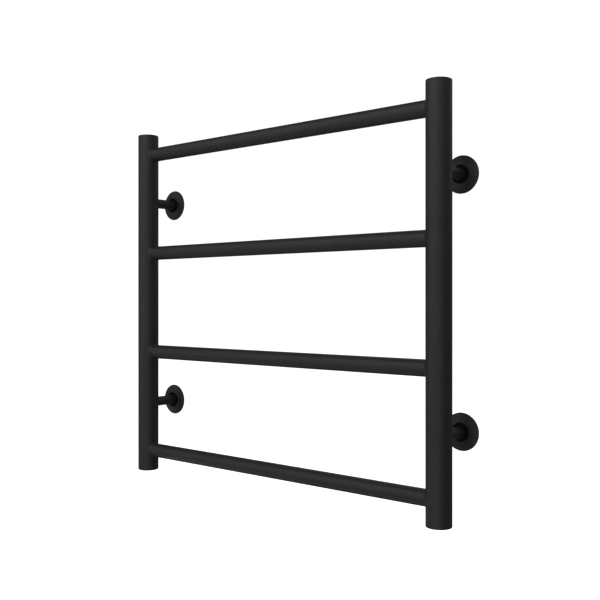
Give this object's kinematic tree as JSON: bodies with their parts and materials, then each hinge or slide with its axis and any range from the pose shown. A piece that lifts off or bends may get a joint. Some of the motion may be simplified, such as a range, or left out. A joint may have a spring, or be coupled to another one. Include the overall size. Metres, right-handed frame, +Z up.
{
  "type": "heated towel rack",
  "caption": "Wall-hung heated towel rack: round rails between two round posts, on hollow legs with sliding conical covers.",
  "frame": {"origin": "on the wall, midway between the four legs", "axes": "+X along the rails to the right of someone facing the rack, +Y into the wall, +Z up along the posts"},
  "size_m": [0.545, 0.067, 0.5],
  "materials": {
    "powder_coat": "matt black powder coat with a fine orange peel",
    "stainless": "turned stainless steel",
    "screw_steel": "bright zinc-plated steel",
    "black_rubber": "moulded, dull",
    "silicone_sheath": "extruded silicone, satin",
    "white_plastic": "moulded",
    "brown_insulation": "extruded",
    "blue_insulation": "extruded",
    "green_insulation": "extruded, green with a yellow stripe",
    "brass": "bright"
  },
  "bodies": {
    "rack": {"left_post": "powder_coat", "left_top_cap": "powder_coat", "left_bottom_cap": "powder_coat", "right_post": "powder_coat", "right_top_cap": "powder_coat", "right_bottom_cap": "powder_coat", "top_rail": "powder_coat", "upper_rail": "powder_coat", "lower_rail": "powder_coat", "bottom_rail": "powder_coat", "upper_left_leg": "powder_coat", "upper_left_wall_base": "stainless", "upper_left_grub_screw": "screw_steel", "lower_left_leg": "powder_coat", "lower_left_wall_base": "stainless", "lower_left_grub_screw": "screw_steel", "upper_right_leg": "powder_coat", "upper_right_wall_base": "stainless", "upper_right_grub_screw": "screw_steel", "lower_right_leg": "powder_coat", "lower_right_wall_base": "stainless", "lower_right_grub_screw": "screw_steel", "terminal_block": "white_plastic", "thermal_cutout": "white_plastic", "splice_sleeve": "black_rubber", "live_link": "brown_insulation", "live_tail": "brown_insulation", "neutral_tail": "blue_insulation", "earth_wire": "green_insulation", "earth_stud": "brass", "earth_lug": "brass", "earth_nut": "screw_steel", "heating_cable": "silicone_sheath", "cable_end_seal": "black_rubber", "cord_grommet": "black_rubber"},
    "upper_left_cover": {"upper_left_cover": "powder_coat", "upper_left_cover_seal": "black_rubber"},
    "lower_left_cover": {"lower_left_cover": "powder_coat", "lower_left_cover_seal": "black_rubber"},
    "upper_right_cover": {"upper_right_cover": "powder_coat", "upper_right_cover_seal": "black_rubber"},
    "lower_right_cover": {"lower_right_cover": "powder_coat", "lower_right_cover_seal": "black_rubber"}
  },
  "joints": [
    {"name": "upper_left_cover_slide", "type": "slide", "parent": "rack", "child": "upper_left_cover", "axis": [0, -1, 0], "range_m": [0, 0.03]},
    {"name": "lower_left_cover_slide", "type": "slide", "parent": "rack", "child": "lower_left_cover", "axis": [0, -1, 0], "range_m": [0, 0.03]},
    {"name": "upper_right_cover_slide", "type": "slide", "parent": "rack", "child": "upper_right_cover", "axis": [0, -1, 0], "range_m": [0, 0.03]},
    {"name": "lower_right_cover_slide", "type": "slide", "parent": "rack", "child": "lower_right_cover", "axis": [0, -1, 0], "range_m": [0, 0.03]}
  ]
}
